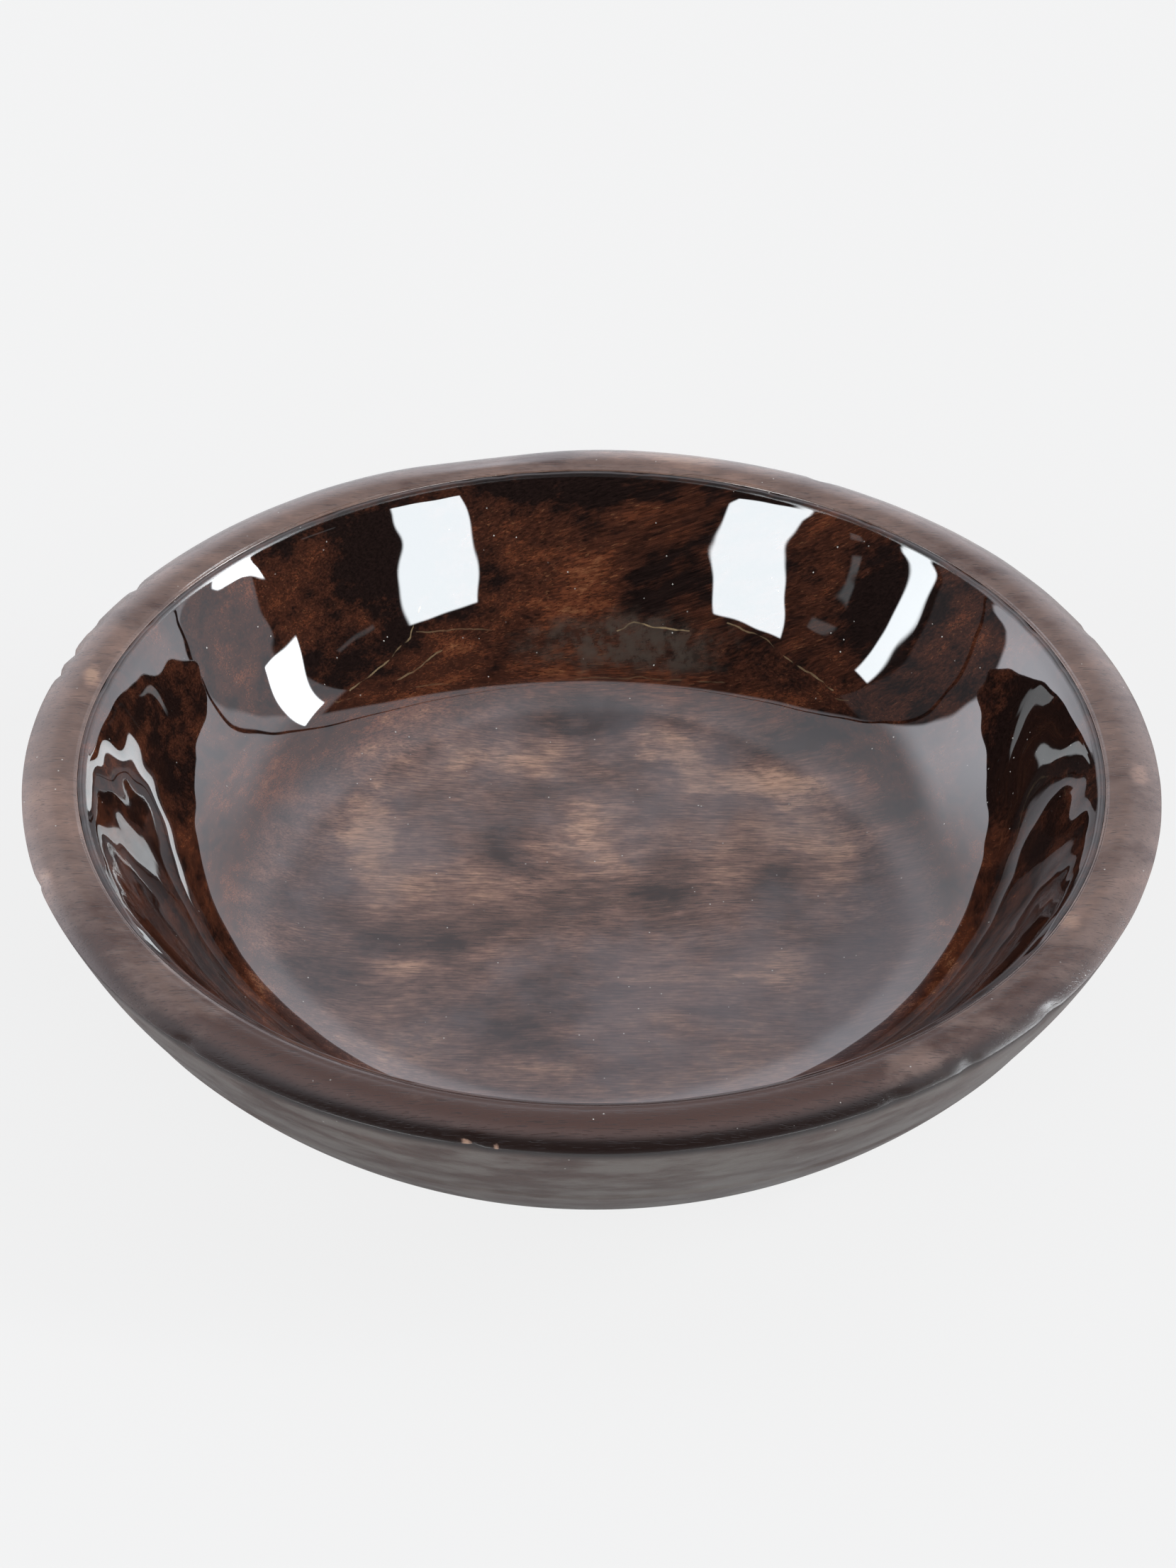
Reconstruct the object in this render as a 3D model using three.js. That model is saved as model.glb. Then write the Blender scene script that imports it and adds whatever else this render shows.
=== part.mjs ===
// A shallow turned wooden bowl with a clear lining poured into its hollow.
// Millimetres, +Z up. The origin is the centre of the foot, on the surface that the bowl stands on.
import * as THREE from 'three';

// The turned block, outside
const RIM_DIAMETER = 300; // over the arris, the widest place
const HEIGHT = 65; // from the standing ring to the crown of the rim
const BASE_DIAMETER = 204; // over the foot
const WALL_BULGE = 6.2; // how far the outside swells out from a straight cone
const FOOT_ROUND = 2; // length rounded off where the wall meets the standing ring
const RING_WIDTH = 16; // of the flat standing ring
const BASE_HOLLOW = 1.5; // depth of the shallow hollow inside the standing ring
const BASE_BEVEL = 4; // width of the slope from the ring into that hollow

// The rounded rim
const RIM_WIDTH = 15; // from the arris in to the mouth of the hollow
const EDGE_ROUND = 6.2; // width of the round between the arris and the land on top
const ARRIS_DROP = 3; // the arris lies this far below the crown
const MOUTH_ROUND = 2.6; // width of the round between the land and the mouth
const MOUTH_DROP = 1; // the edge of the mouth lies this far below the crown
const LAND_CROWN = 0.3; // how far the land swells up in its middle
const MOUTH_FULLNESS = 0.55; // of the mouth's round: 0 is a straight chamfer, 1 a square corner

// The hollow, as cut in the wood
const FLOOR_HEIGHT = 9.6; // height of the floor above the standing ring
const FLOOR_DIAMETER = 132; // of the flat of the floor
const WALL_LEAN = 0.2; // share of the run that the wall leans in over its upper handle
const WALL_STEEPNESS = 0.33; // share of the drop that the upper handle takes
const COVE_FULLNESS = 0.71; // share of the run that the floor sweeps out before it rises

// The lining
const LINING_THICKNESS = 1.2; // over the floor and the wall
const LINING_EDGE = 1; // at its upper edge
const LINING_TAPER = 4; // length over which it thins to that edge
const LINING_GAP = 0.3; // clearance between the lining and the wood

// Facets
const SEGMENTS = 64; // around the axis
const WALL_STEPS = 10;
const ROUND_STEPS = 4;
const LAND_STEPS = 4;
const FOOT_STEPS = 2;
const HOLLOW_STEPS = 16;

const rimRadius = RIM_DIAMETER / 2;
const baseRadius = BASE_DIAMETER / 2;
const mouthRadius = rimRadius - RIM_WIDTH;
const floorRadius = FLOOR_DIAMETER / 2;
const ringInnerRadius = baseRadius - RING_WIDTH;

const arris = new THREE.Vector2(rimRadius, HEIGHT - ARRIS_DROP);
const landHeight = HEIGHT - LAND_CROWN;
const landOuter = new THREE.Vector2(rimRadius - EDGE_ROUND, landHeight);
const landInner = new THREE.Vector2(mouthRadius + MOUTH_ROUND, landHeight);
const landHandle = new THREE.Vector2((landOuter.x + landInner.x) / 2, HEIGHT + LAND_CROWN);
const mouth = new THREE.Vector2(mouthRadius, HEIGHT - MOUTH_DROP);
const floorEdge = new THREE.Vector2(floorRadius, FLOOR_HEIGHT);

// The round from the crisp arris up to the land, which it meets without a corner.
function edgeRound() {
  const alongLand = landOuter.clone().sub(landHandle);
  const handle = landOuter.clone().addScaledVector(alongLand, EDGE_ROUND / 2 / alongLand.x);
  return new THREE.QuadraticBezierCurve(arris, handle, landOuter);
}

// The top of the rim between its two rounds, swelling up to the crown in the middle.
function rimLand() {
  return new THREE.QuadraticBezierCurve(landOuter, landHandle, landInner);
}

// The round from the land into the hollow.
function mouthRound() {
  const corner = new THREE.Vector2(mouth.x, landHeight);
  const firstHandle = landInner.clone().lerp(corner, MOUTH_FULLNESS);
  const lastHandle = mouth.clone().lerp(corner, MOUTH_FULLNESS);
  return new THREE.CubicBezierCurve(landInner, firstHandle, lastHandle, mouth);
}

// The outside of the wall, from the foot up to the arris, swelling out in the middle.
function outerWall() {
  const foot = new THREE.Vector2(baseRadius, 0);
  const chord = arris.clone().sub(foot);
  const outward = new THREE.Vector2(chord.y, -chord.x).normalize();
  const handle = foot.clone().lerp(arris, 0.5).addScaledVector(outward, 2 * WALL_BULGE);
  return new THREE.QuadraticBezierCurve(foot, handle, arris);
}

// The inside of the hollow, from the mouth down the wall and through a wide cove to the floor.
function hollowWall() {
  const run = mouth.x - floorEdge.x;
  const drop = mouth.y - floorEdge.y;
  const wallHandle = new THREE.Vector2(mouth.x - WALL_LEAN * run, mouth.y - WALL_STEEPNESS * drop);
  const coveHandle = new THREE.Vector2(floorEdge.x + COVE_FULLNESS * run, floorEdge.y);
  return new THREE.CubicBezierCurve(mouth, wallHandle, coveHandle, floorEdge);
}

// The part of a curve between two parameters, as points.
function stretch(curve, start, end, steps) {
  const points = [];
  for (let i = 0; i <= steps; i += 1) {
    points.push(curve.getPoint(THREE.MathUtils.lerp(start, end, i / steps)));
  }
  return points;
}

// Points of the hollow raised off the wood by a height that depends on the distance from the mouth.
function raisedHollow(heightAt) {
  const curve = hollowWall();
  const points = [];
  let fromMouth = 0;
  let last = curve.getPoint(0);
  for (let i = 0; i <= HOLLOW_STEPS; i += 1) {
    const share = i / HOLLOW_STEPS;
    const point = curve.getPoint(share);
    const along = curve.getTangent(share);
    const offWood = new THREE.Vector2(along.y, -along.x);
    fromMouth += point.distanceTo(last);
    last = point;
    points.push(point.clone().addScaledVector(offWood, heightAt(fromMouth)));
  }
  const floorHeight = FLOOR_HEIGHT + heightAt(fromMouth);
  points.push(new THREE.Vector2(0, floorHeight));
  return points;
}

// A closed body turned about +Z from a profile that starts and ends on the axis.
function turned(name, profile, material) {
  const geometry = new THREE.LatheGeometry(profile, SEGMENTS);
  geometry.rotateX(Math.PI / 2);
  const mesh = new THREE.Mesh(geometry, material);
  mesh.name = name;
  return mesh;
}

// The wood, from the middle of the underside out, up, over the rim and down to the middle of the floor.
function turnedBowl() {
  const wall = outerWall();
  const footShare = FOOT_ROUND / wall.getLength();
  const footRound = new THREE.QuadraticBezierCurve(
    new THREE.Vector2(baseRadius - FOOT_ROUND, 0),
    new THREE.Vector2(baseRadius, 0),
    wall.getPoint(footShare),
  );
  const profile = [
    new THREE.Vector2(0, BASE_HOLLOW),
    new THREE.Vector2(ringInnerRadius - BASE_BEVEL, BASE_HOLLOW),
    new THREE.Vector2(ringInnerRadius, 0),
    ...stretch(footRound, 0, 1, FOOT_STEPS),
    ...stretch(wall, footShare, 1, WALL_STEPS).slice(1),
    ...edgeRound().getPoints(ROUND_STEPS).slice(1),
    ...rimLand().getPoints(LAND_STEPS).slice(1),
    ...mouthRound().getPoints(ROUND_STEPS).slice(1),
    ...hollowWall().getPoints(HOLLOW_STEPS).slice(1),
    new THREE.Vector2(0, FLOOR_HEIGHT),
  ];
  const stainedWood = new THREE.MeshStandardMaterial({ color: 0x4b3529, roughness: 0.45, metalness: 0 });
  return turned('turned_bowl', profile, stainedWood);
}

// The lining, from the middle of its underside out and up to its edge, and back over its top.
function clearLining() {
  const thicknessAt = (fromMouth) => THREE.MathUtils.lerp(
    LINING_EDGE,
    LINING_THICKNESS,
    THREE.MathUtils.smoothstep(fromMouth, 0, LINING_TAPER),
  );
  const underside = raisedHollow(() => LINING_GAP).reverse();
  const top = raisedHollow((fromMouth) => LINING_GAP + thicknessAt(fromMouth));
  const clearCoat = new THREE.MeshStandardMaterial({
    color: 0x6b4a35,
    roughness: 0.05,
    metalness: 0,
    transparent: true,
    opacity: 0.35,
  });
  return turned('clear_lining', [...underside, ...top], clearCoat);
}

const bowl = new THREE.Group();
bowl.add(turnedBowl(), clearLining());

export default bowl;
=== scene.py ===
"""A shallow turned wooden bowl, stained dark brown, with a mirror-gloss clear lining in its hollow."""
import math

import bmesh
import bpy
from bpy.props import FloatProperty, FloatVectorProperty, IntProperty, PointerProperty
from mathutils import Matrix, Vector, geometry, noise


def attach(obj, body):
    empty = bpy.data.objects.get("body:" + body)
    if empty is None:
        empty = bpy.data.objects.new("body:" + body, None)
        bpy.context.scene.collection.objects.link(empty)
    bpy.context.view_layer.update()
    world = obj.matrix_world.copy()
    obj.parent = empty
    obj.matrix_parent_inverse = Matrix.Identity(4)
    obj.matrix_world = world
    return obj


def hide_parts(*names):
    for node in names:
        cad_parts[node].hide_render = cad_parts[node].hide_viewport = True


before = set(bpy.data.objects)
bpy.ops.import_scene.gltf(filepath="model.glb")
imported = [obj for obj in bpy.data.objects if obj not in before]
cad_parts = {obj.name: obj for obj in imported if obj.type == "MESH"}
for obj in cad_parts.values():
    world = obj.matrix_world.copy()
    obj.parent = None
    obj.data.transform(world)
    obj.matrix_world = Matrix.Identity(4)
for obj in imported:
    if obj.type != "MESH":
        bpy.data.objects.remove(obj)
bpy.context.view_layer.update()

bl_info = {
    "name": "Lined Wooden Bowl",
    "version": (1, 0, 0),
    "blender": (4, 5, 0),
    "location": "View3D > Sidebar > Bowl",
    "description": "Builds a turned wooden bowl with a clear poured lining, and a studio round it",
    "category": "Add Mesh",
}

MM = 0.001
# Distances in metres within which two points are one, and within which a point lies on a corner
MERGE_DISTANCE = 1e-6
TOUCH = 1e-5
FEWEST_FACETS = 24


def length(label, text, millimetres):
    """A size in metres, given in millimetres."""
    return FloatProperty(name=label, description=text, default=millimetres * MM, precision=5, unit="LENGTH")


def share(label, text, default):
    """A plain number, not below 0."""
    return FloatProperty(name=label, description=text, default=default, min=0.0)


def angle(label, text, degrees):
    """An angle, given in degrees."""
    return FloatProperty(name=label, description=text, default=math.radians(degrees), subtype="ANGLE")


def facets(label, text, default):
    """A number of facets round the axis."""
    return IntProperty(name=label, description=text, default=default, min=FEWEST_FACETS)


def colour(label, text, red, green, blue):
    """A linear colour."""
    return FloatVectorProperty(
        name=label, description=text, default=(red, green, blue), min=0.0, max=1.0, size=3, subtype="COLOR")


class BowlSizes(bpy.types.PropertyGroup):
    """Sizes of the turned wood and of the lining."""

    rim_diameter: length("Rim diameter", "Over the arris, the widest place", 300)
    height: length("Height", "From the standing ring to the crown of the rim", 65)
    base_diameter: length("Base diameter", "Over the foot", 204)
    wall_bulge: length("Wall bulge", "How far the outside swells out from a straight cone", 6.2)
    foot_round: length("Foot round", "Length rounded off where the wall meets the standing ring", 2)
    ring_width: length("Ring width", "Of the flat standing ring", 16)
    base_hollow: length("Base hollow", "Depth of the shallow hollow inside the standing ring", 1.5)
    base_bevel: length("Base bevel", "Width of the slope from the ring into that hollow", 4)
    rim_width: length("Rim width", "From the arris in to the mouth of the hollow", 15)
    edge_round: length("Edge round", "Width of the round between the arris and the land on top", 6.2)
    arris_drop: length("Arris drop", "The arris lies this far below the crown", 3)
    mouth_round: length("Mouth round", "Width of the round between the land and the mouth", 2.6)
    mouth_drop: length("Mouth drop", "The edge of the mouth lies this far below the crown", 1)
    land_crown: length("Land crown", "How far the land swells up in its middle", 0.3)
    mouth_fullness: share("Mouth fullness", "Of its round: 0 is a straight chamfer, 1 a square corner", 0.55)
    arris_softness: length("Arris softness", "Width of the small round on the crisp edges", 0.15)
    floor_height: length("Floor height", "Height of the floor above the standing ring", 9.6)
    floor_diameter: length("Floor diameter", "Of the flat of the floor", 132)
    wall_lean: share("Wall lean", "Share of the run that the wall leans in over its upper handle", 0.2)
    wall_steepness: share("Wall steepness", "Share of the drop that the upper handle takes", 0.33)
    cove_fullness: share("Cove fullness", "Share of the run that the floor sweeps out before it rises", 0.71)
    lining_thickness: length("Lining thickness", "Over the floor and the wall", 1.2)
    lining_edge: length("Lining edge", "Thickness at its feathered upper edge", 0.1)
    lining_taper: length("Lining taper", "Length over which it thins to that edge where it ran thin", 5)
    edge_taper: length("Edge taper", "Length over which it thins to that edge elsewhere", 0.9)
    lining_gap: length("Lining gap", "Clearance between the lining and the wood", 0.3)
    edge_gap: length("Edge gap", "Clearance at the lining's edge", 0.04)
    wood_turns: facets("Wood facets", "Facets of the wood round the axis", 384)
    lining_turns: facets("Lining facets", "Facets of the lining round the axis", 512)


class BowlColours(bpy.types.PropertyGroup):
    """Colours of the stained wood."""

    # Shade is also the near-black of the painted shade band along the front edge of the rim.
    shade: colour("Shade", "The darkest clouds of the stain on the wall", 0.0047, 0.0024, 0.0020)
    stain: colour("Stain", "The stained wall between its clouds", 0.0207, 0.0068, 0.0039)
    ember: colour("Ember", "Where the stain of the wall is thin and glows red-brown", 0.048, 0.0138, 0.0062)
    tan: colour("Tan", "Pale wood of the wall that took little stain", 0.15, 0.069, 0.032)
    # The floor's tones are paler than the wall's, partly a thinner stain on the floor and partly painted
    # light for the floor, which takes more light than the wall.
    floor_shade: colour("Floor shade", "The darkest clouds of the stain on the floor", 0.0120, 0.0042, 0.0024)
    floor_stain: colour("Floor stain", "The stained floor between its clouds", 0.040, 0.0189, 0.0133)
    floor_ember: colour("Floor ember", "Where the stain of the floor is thin", 0.078, 0.040, 0.029)
    floor_tan: colour("Floor tan", "Pale wood of the floor that took little stain", 0.208, 0.118, 0.077)
    haze: colour("Haze", "Milky clouds in the lining over the floor", 0.084, 0.076, 0.082)
    ash: colour("Ash", "The grey stain low on the back wall", 0.029, 0.0215, 0.017)
    gold: colour("Gold", "The hairlines", 0.118, 0.083, 0.047)
    dust: colour("Dust", "White specks in the lining and on the rim", 0.27, 0.26, 0.24)
    # Rim shade is also what the painted shade over the front of the rim mostly shows.
    rim_shade: colour("Rim shade", "The darkest clouds of the satin outside", 0.024, 0.0094, 0.0060)
    rim_stain: colour("Rim stain", "The satin outside between its clouds", 0.062, 0.038, 0.030)
    rim_ember: colour("Rim ember", "The satin outside where the stain is thin", 0.100, 0.060, 0.046)
    rim_tan: colour("Rim tan", "Pale marks of the satin outside", 0.180, 0.112, 0.076)
    film: colour("Film", "The dull film on the outside of the wall", 0.062, 0.050, 0.0435)


class BowlStudio(bpy.types.PropertyGroup):
    """The light and the camera."""

    backdrop: share("Backdrop", "Brightness of the backdrop behind the bowl", 1.9)
    left_glow: share("Left glow", "How much brighter the backdrop is low down at its left end", 3.9)
    right_glow: share("Right glow", "How much brighter the backdrop is low down at its right end", 1.8)
    dimming: share("Dimming", "How much darker the middle of the backdrop is, as a share", 0.5)
    room: share("Room", "Brightness of the dark room on the camera's side", 0.03)
    right_panel: share("Right panel", "Brightness of the grey panel at the right", 1.65)
    left_panel: share("Left panel", "Brightness of the grey panel at the left", 0.3)
    softbox: share("Softbox", "Brightness of the softboxes", 22.5)
    floor_white: share("Floor white", "How much light the floor throws back on to the bowl", 0.45)
    seen_floor: share("Seen floor", "Brightness of the floor as the camera sees it", 0.824)
    seen_backdrop: share("Seen backdrop", "Brightness of the backdrop as the camera sees it", 0.887)
    camera_distance: length("Camera distance", "From the middle of the rim", 1050)
    camera_aside: length("Camera aside", "How far its line of sight passes to the right of the axis", -0.9)
    camera_above: length("Camera above", "How far its line of sight passes above the rim's middle", -8.15)
    camera_elevation: angle("Camera elevation", "Above the horizon", 38.24)
    camera_roll: angle("Camera roll", "About the line of sight", 0.55)
    camera_lens: FloatProperty(
        name="Camera lens", description="Focal length on a 36 mm high frame", default=91.42, unit="CAMERA")


# Steps along each stretch of the sections
BASE_STEPS = 6
FOOT_STEPS = 5
WALL_STEPS = 48
EDGE_STEPS = 14
LAND_STEPS = 12
MOUTH_STEPS = 8
HOLLOW_STEPS = 44
FLOOR_STEPS = 8
LINING_STEPS = 76
LINING_FLOOR_STEPS = 12
# Steps of the wall that the foot's round takes up
ROUNDED_STEPS = 2
# Parts that the lining's first step is cut into, and steps of its top for each step of its underside
EDGE_PARTS = 4
UNDER_STRIDE = 5


def bend(start, first, last, end, steps):
    """Points of one curved stretch of a section, without its first point."""
    return geometry.interpolate_bezier(start, first, last, end, steps + 1)[1:]


def round_over(start, corner, end, fullness, steps):
    """A round from one point to another, pulled towards the corner between them."""
    return bend(start, start.lerp(corner, fullness), end.lerp(corner, fullness), end, steps)


def bow(start, handle, end, steps):
    """A stretch that bows towards one handle, as a parabola."""
    return round_over(start, handle, end, 2 / 3, steps)


def spot(radius, height):
    """A point of a section: its distance from the axis and its height."""
    return Vector((radius, 0.0, height))


def mouth_of(sizes):
    """The edge of the hollow's mouth in the section."""
    return spot(sizes.rim_diameter / 2 - sizes.rim_width, sizes.height - sizes.mouth_drop)


def arris_of(sizes):
    """The crisp outer edge of the rim in the section."""
    return spot(sizes.rim_diameter / 2, sizes.height - sizes.arris_drop)


def flat_stretch(radius, height, steps):
    """Points of a flat stretch that runs in to the axis, without its first point."""
    return [spot(radius * (1 - part / steps), height) for part in range(1, steps + 1)]


def hollow_section(sizes, steps):
    """The hollow from its mouth down the wall and through the cove to the edge of the flat floor."""
    mouth = mouth_of(sizes)
    floor_edge = spot(sizes.floor_diameter / 2, sizes.floor_height)
    run = mouth.x - floor_edge.x
    drop = mouth.z - floor_edge.z
    wall_handle = spot(mouth.x - sizes.wall_lean * run, mouth.z - sizes.wall_steepness * drop)
    cove_handle = spot(floor_edge.x + sizes.cove_fullness * run, floor_edge.z)
    return [mouth] + bend(mouth, wall_handle, cove_handle, floor_edge, steps)


def wood_section(sizes):
    """The wood from the middle of its underside out, up, over the rim and down to the middle of the floor.

    Its crisp corners come second."""
    base = sizes.base_diameter / 2
    ring_inside = base - sizes.ring_width
    land = sizes.height - sizes.land_crown
    arris, mouth = arris_of(sizes), mouth_of(sizes)
    land_outside = spot(arris.x - sizes.edge_round, land)
    land_inside = spot(mouth.x + sizes.mouth_round, land)
    crown = spot((land_outside.x + land_inside.x) / 2, sizes.height + sizes.land_crown)
    along_land = land_outside - crown
    edge_handle = land_outside + along_land * (sizes.edge_round / 2 / along_land.x)
    foot = spot(base, 0)
    chord = arris - foot
    outward = spot(chord.z, -chord.x).normalized()
    bulge = foot.lerp(arris, 0.5) + outward * 2 * sizes.wall_bulge
    wall = [foot] + bow(foot, bulge, arris, WALL_STEPS)
    hollow_edge = spot(ring_inside - sizes.base_bevel, sizes.base_hollow)
    ring_edge = spot(ring_inside, 0)
    section = [spot(ring_inside * part / BASE_STEPS, sizes.base_hollow) for part in range(BASE_STEPS - 1)]
    section += [hollow_edge, ring_edge, spot(base - sizes.foot_round, 0)]
    section += bow(section[-1], foot, wall[ROUNDED_STEPS], FOOT_STEPS)
    section += wall[ROUNDED_STEPS + 1:]
    section += bow(arris, edge_handle, land_outside, EDGE_STEPS)
    section += bow(land_outside, crown, land_inside, LAND_STEPS)
    section += round_over(land_inside, spot(mouth.x, land), mouth, sizes.mouth_fullness, MOUTH_STEPS)
    section += hollow_section(sizes, HOLLOW_STEPS)[1:]
    section += flat_stretch(sizes.floor_diameter / 2, sizes.floor_height, FLOOR_STEPS)
    return section, (hollow_edge, ring_edge, arris)


def turned(section, turns, layers=()):
    """A closed body turned about the upright axis. Layers name values that the section's points pass on."""
    shape = bmesh.new()
    kept = [(shape.verts.layers.float.new(name), values) for name, values in layers]
    corners = []
    for place, point in enumerate(section):
        corner = shape.verts.new(point)
        for layer, values in kept:
            corner[layer] = values[place]
        corners.append(corner)
    edges = [shape.edges.new(pair) for pair in zip(corners, corners[1:])]
    bmesh.ops.spin(
        shape, geom=corners + edges, cent=(0, 0, 0), axis=(0, 0, 1), dvec=(0, 0, 0),
        angle=2 * math.pi, steps=turns, use_merge=True)
    bmesh.ops.remove_doubles(shape, verts=shape.verts, dist=MERGE_DISTANCE)
    bmesh.ops.recalc_face_normals(shape, faces=shape.faces)
    return shape


def softened(shape, corners, width):
    """A small round on each turned edge that passes through one of the section's corners."""

    def near(vert, corner):
        return math.hypot(math.hypot(vert.co.x, vert.co.y) - corner.x, vert.co.z - corner.z) < TOUCH

    edges = [
        edge for edge in shape.edges
        if any(all(near(vert, corner) for vert in edge.verts) for corner in corners)]
    bmesh.ops.bevel(
        shape, geom=edges, offset=width, offset_type="OFFSET", segments=3, profile=0.5, affect="EDGES",
        material=-1)


def finished(shape, name, materials):
    """The shape as a smooth object at the origin."""
    for face in shape.faces:
        face.smooth = True
    mesh = bpy.data.meshes.new(name)
    shape.to_mesh(mesh)
    shape.free()
    for material in materials:
        mesh.materials.append(material)
    piece = bpy.data.objects.new(name, mesh)
    bpy.context.scene.collection.objects.link(piece)
    return piece


def step_up(value, low, high):
    """0 below low, 1 above high and smooth between."""
    part = min(max((value - low) / (high - low), 0.0), 1.0)
    return part * part * (3 - 2 * part)


def around(turn, waves, seed):
    """Smooth unevenness round the axis, from -1 to 1, that closes on itself."""
    return noise.noise(Vector((math.cos(turn) * waves, math.sin(turn) * waves, seed)))


def degrees_off(turn, middle):
    """Degrees from a direction round the axis to another, which is given in degrees."""
    return abs((math.degrees(turn) - middle + 180) % 360 - 180)


# Each nick of the outer edge: its direction round the axis and its width in degrees, its depth in millimetres
NICKS = (
    (165.9, 0.9, 0.9), (162.3, 1.0, 1.1), (149.0, 0.9, 1.0), (157.0, 0.8, 0.5), (-41.0, 1.4, 0.6),
    (-52.0, 1.0, 0.5), (-60.5, 1.2, 0.5), (-100.6, 0.9, 0.7), (-131.0, 1.1, 0.5), (24.0, 1.0, 0.5),
    (-159.4, 0.9, 0.6), (64.0, 1.3, 0.5),
)
# A nick fades out this far from the outer edge, in millimetres
NICK_REACH = 4
# The flat worn into the rim: its direction and half its spread in degrees, and how far it goes in and down
# in millimetres
WORN_FLAT = (103.0, 9.0, 1.0, 0.7)
# Unevenness left by hand work, in millimetres: of the rim slow and quick, of its height, and of the wall
RIM_SWAY = 0.22
RIM_RIPPLE = 0.10
RIM_DIP = 0.12
WALL_SWAY = 0.35
# How closely the wall's unevenness follows on itself, in waves to a metre
WALL_WAVES = 22


def nicked(turn, from_arris):
    """Depth of the nicks at a direction and a distance from the outer edge, in millimetres."""
    if from_arris > NICK_REACH:
        return 0.0
    fade = 1 - step_up(from_arris, 0.5, NICK_REACH)
    return fade * sum(
        depth * (1 - step_up(degrees_off(turn, middle) / width, 0.2, 1.4)) for middle, width, depth in NICKS)


def hand_work(shape, sizes):
    """Small unevenness of the outside and the rim, always inwards, and the nicks of the edge."""
    mouth, arris = mouth_of(sizes).x, arris_of(sizes)
    flat_turn, flat_spread, flat_in, flat_down = WORN_FLAT
    for corner in shape.verts:
        radius, height = math.hypot(corner.co.x, corner.co.y), corner.co.z
        in_hollow = radius < mouth + 1 * MM and height > sizes.floor_height - 1 * MM
        if in_hollow or height < 3 * MM:
            continue
        turn = math.atan2(corner.co.y, corner.co.x)
        on_rim = step_up(radius, mouth + 2 * MM, mouth + 9 * MM) * step_up(height, 30 * MM, 60 * MM)
        on_wall = (1 - on_rim) * step_up(height, 3 * MM, 12 * MM) * step_up(radius, mouth - 40 * MM, mouth)
        worn = math.exp(-(degrees_off(turn, flat_turn) / flat_spread) ** 2)
        inward = on_rim * RIM_SWAY * (1 + around(turn, waves=3.2, seed=4.0))
        inward += on_rim * RIM_RIPPLE * (1 + around(turn, waves=11.0, seed=9.0))
        inward += on_rim * flat_in * worn
        inward += on_wall * WALL_SWAY * (1 + noise.noise(corner.co * WALL_WAVES))
        inward += nicked(turn, math.hypot(radius - arris.x, height - arris.z) / MM)
        downward = on_rim * RIM_DIP * (1 + around(turn, waves=4.1, seed=17.0))
        downward += on_rim * flat_down * worn
        kept = 1 - inward * MM / radius
        corner.co.x *= kept
        corner.co.y *= kept
        corner.co.z -= downward * MM


def lining_section(sizes):
    """The lining's closed section, with a mark for its top and each point's distance from the edge."""
    line = hollow_section(sizes, LINING_STEPS)
    line[1:1] = [line[0].lerp(line[1], part / EDGE_PARTS) for part in range(1, EDGE_PARTS)]
    under, top, reach = [], [], 0.0
    for place, point in enumerate(line):
        before, after = line[max(place - 1, 0)], line[min(place + 1, len(line) - 1)]
        along = (after - before).normalized()
        off_wood = spot(along.z, -along.x)
        reach += (point - before).length
        taper = step_up(reach, 0, sizes.lining_taper)
        gap = sizes.edge_gap + (sizes.lining_gap - sizes.edge_gap) * taper
        thickness = sizes.lining_edge + (sizes.lining_thickness - sizes.lining_edge) * taper
        top.append((point + off_wood * (gap + thickness), reach))
        if place % UNDER_STRIDE == 0:
            under.append((point + off_wood * gap, reach))
    half_floor = sizes.floor_diameter / 2
    floor_under = sizes.floor_height + sizes.lining_gap
    under.append((spot(0, floor_under), reach + half_floor))
    for point in flat_stretch(half_floor, floor_under + sizes.lining_thickness, LINING_FLOOR_STEPS):
        top.append((point, reach + half_floor - point.x))
    section, depths = zip(*(under[::-1] + top))
    marks = [0.0] * len(under) + [1.0] * len(top)
    return section, marks, depths


# The arc where the lining ran thin towards its edge: its middle, half its spread and its fade in degrees
THIN_ARC = (270.0, 55.0, 8.0)
# Waves of the lining's top in millimetres: broad ones, drips down the wall, and fine ones high on the wall
BROAD_WAVE = 0.12
DRIP_WAVE = 0.19
FINE_WAVE = 0.06
# The lining's edge slips this far in and down for each millimetre along the wall
SLIP_IN = 0.62
SLIP_DOWN = 0.78
# Each of the two swings of its uneven line, in millimetres
SLIP = 0.3


def ran_thin(turn):
    """1 where the lining ran thin towards its edge and 0 elsewhere."""
    middle, spread, fade = THIN_ARC
    return 1 - step_up(degrees_off(turn, middle) - spread, 0, fade)


def edge_slip(turn, reach):
    """How far the lining's uneven edge lies below the mouth, fading out with the distance from the edge."""
    uneven = SLIP * around(turn, waves=7.0, seed=31.0) + SLIP * around(turn, waves=24.0, seed=12.0)
    return max(uneven, 0.0) * (1 - step_up(reach, 0, 9 * MM))


def wave_at(place, outward, reach):
    """Height of the waves on the lining's top, in millimetres."""
    high_wall = 1 - step_up(reach, 18 * MM, 60 * MM)
    at_left = step_up(-place.x, 60 * MM, 115 * MM)
    drip = noise.noise(Vector((outward.x * 9.5, outward.y * 9.5, reach * 24)))
    wave = BROAD_WAVE * noise.noise(place * 24 + Vector((3, 0, 0)))
    wave += DRIP_WAVE * drip * (0.1 + 0.9 * high_wall)
    wave += FINE_WAVE * noise.noise(place * 120 + Vector((0, 0, 5))) * high_wall * (0.8 + 0.4 * at_left)
    return wave * (0.1 + 0.9 * step_up(reach, 0, 5 * MM))


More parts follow.
